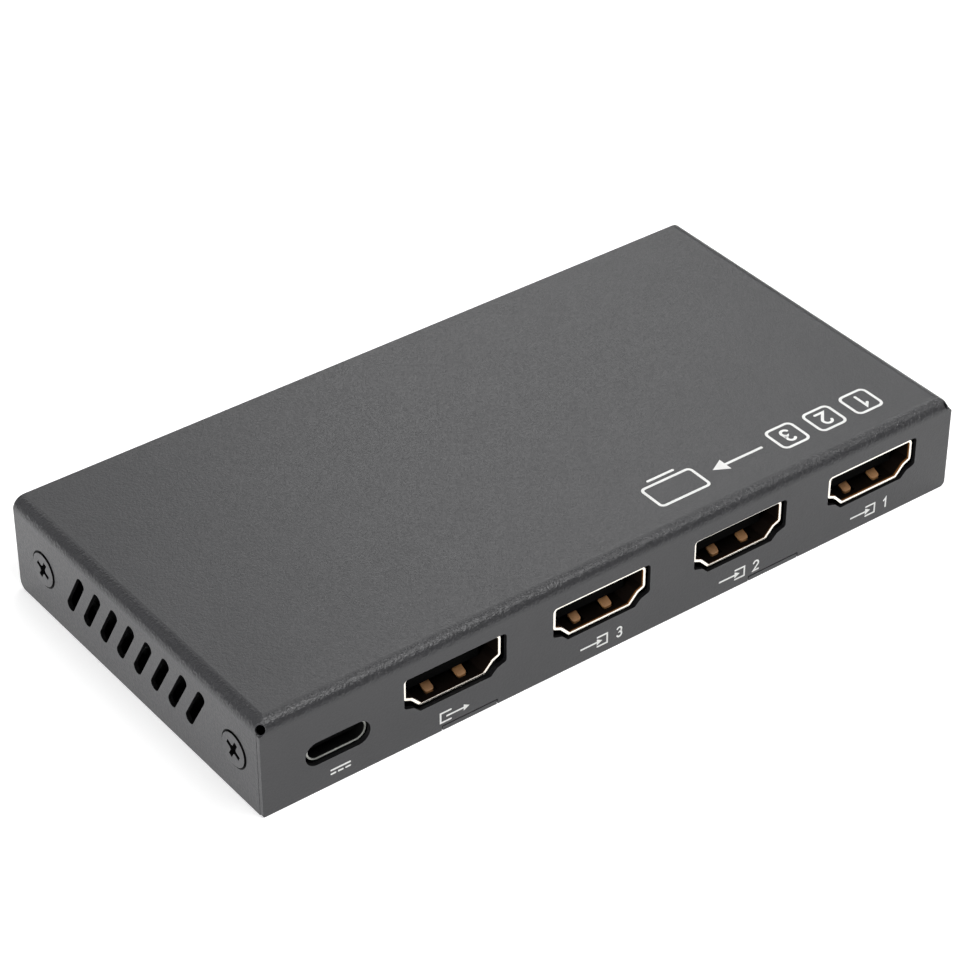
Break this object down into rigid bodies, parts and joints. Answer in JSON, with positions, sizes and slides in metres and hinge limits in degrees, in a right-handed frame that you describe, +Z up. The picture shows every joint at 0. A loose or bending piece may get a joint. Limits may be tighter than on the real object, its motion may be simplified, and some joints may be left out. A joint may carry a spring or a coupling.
{
  "type": "hdmi switch box",
  "caption": "Flat charcoal steel box that passes one of several video inputs to a single output, with a power socket, side vents and a select button.",
  "frame": {"origin": "middle of the case's underside, on the surface it rests on", "axes": "+X along the port face to the right as seen from the ports, +Y from the port face to the control panel, +Z up"},
  "size_m": [0.1134, 0.0584, 0.0144],
  "materials": {
    "case_coat": "charcoal powder coat, fine grain, low sheen",
    "screw_coat": "charcoal coat on a steel screw",
    "plated_steel": "bright zinc plate",
    "board_laminate": "near-black solder mask over laminate",
    "socket_plating": "pale warm plating, bright edges",
    "power_plating": "nickel plate",
    "black_insulator": "moulded black resin",
    "gold_contact": "gold flash",
    "spring_bronze": "spring bronze",
    "button_plastic": "black moulded plastic, fine texture",
    "clear_lamp": "water-clear resin",
    "tinned_lead": "tin plate",
    "dark_resin": "dark infrared-passing resin",
    "window_plastic": "smoked red plastic",
    "chip_resin": "moulded black resin",
    "ferrite": "dark ferrite",
    "capacitor_can": "bare drawn can",
    "ceramic_chip": "fired ceramic"
  },
  "bodies": {
    "case": {"cover": "case_coat", "base_tray": "case_coat", "case_screws": "screw_coat", "board_standoffs": "plated_steel", "board_screws": "plated_steel", "main_board": "board_laminate", "output_shell": "socket_plating", "output_insulator": "black_insulator", "output_contacts": "gold_contact", "input_3_shell": "socket_plating", "input_3_insulator": "black_insulator", "input_3_contacts": "gold_contact", "input_2_shell": "socket_plating", "input_2_insulator": "black_insulator", "input_2_contacts": "gold_contact", "input_1_shell": "socket_plating", "input_1_insulator": "black_insulator", "input_1_contacts": "gold_contact", "power_shell": "power_plating", "power_insulator": "black_insulator", "power_contacts": "gold_contact", "switch_housing": "black_insulator", "switch_frame": "plated_steel", "switch_dome": "spring_bronze", "power_lamp": "clear_lamp", "input_1_lamp": "clear_lamp", "input_2_lamp": "clear_lamp", "input_3_lamp": "clear_lamp", "lamp_leads": "tinned_lead", "ir_receiver": "dark_resin", "ir_leads": "tinned_lead", "ir_window": "window_plastic", "switch_chip": "chip_resin", "switch_chip_leads": "tinned_lead", "control_chip": "chip_resin", "control_chip_leads": "tinned_lead", "regulator": "chip_resin", "inductor": "ferrite", "crystal": "plated_steel", "capacitors": "capacitor_can", "chip_parts": "ceramic_chip", "protection_arrays": "chip_resin"},
    "select_key": {"select_button": "button_plastic", "switch_plunger": "button_plastic"}
  },
  "joints": [
    {"name": "select_press", "type": "slide", "parent": "case", "child": "select_key", "axis": [0, -1, 0], "range_m": [0, 0.0003], "stiffness_N_per_m": 3000, "deforming": ["switch_dome"]}
  ]
}
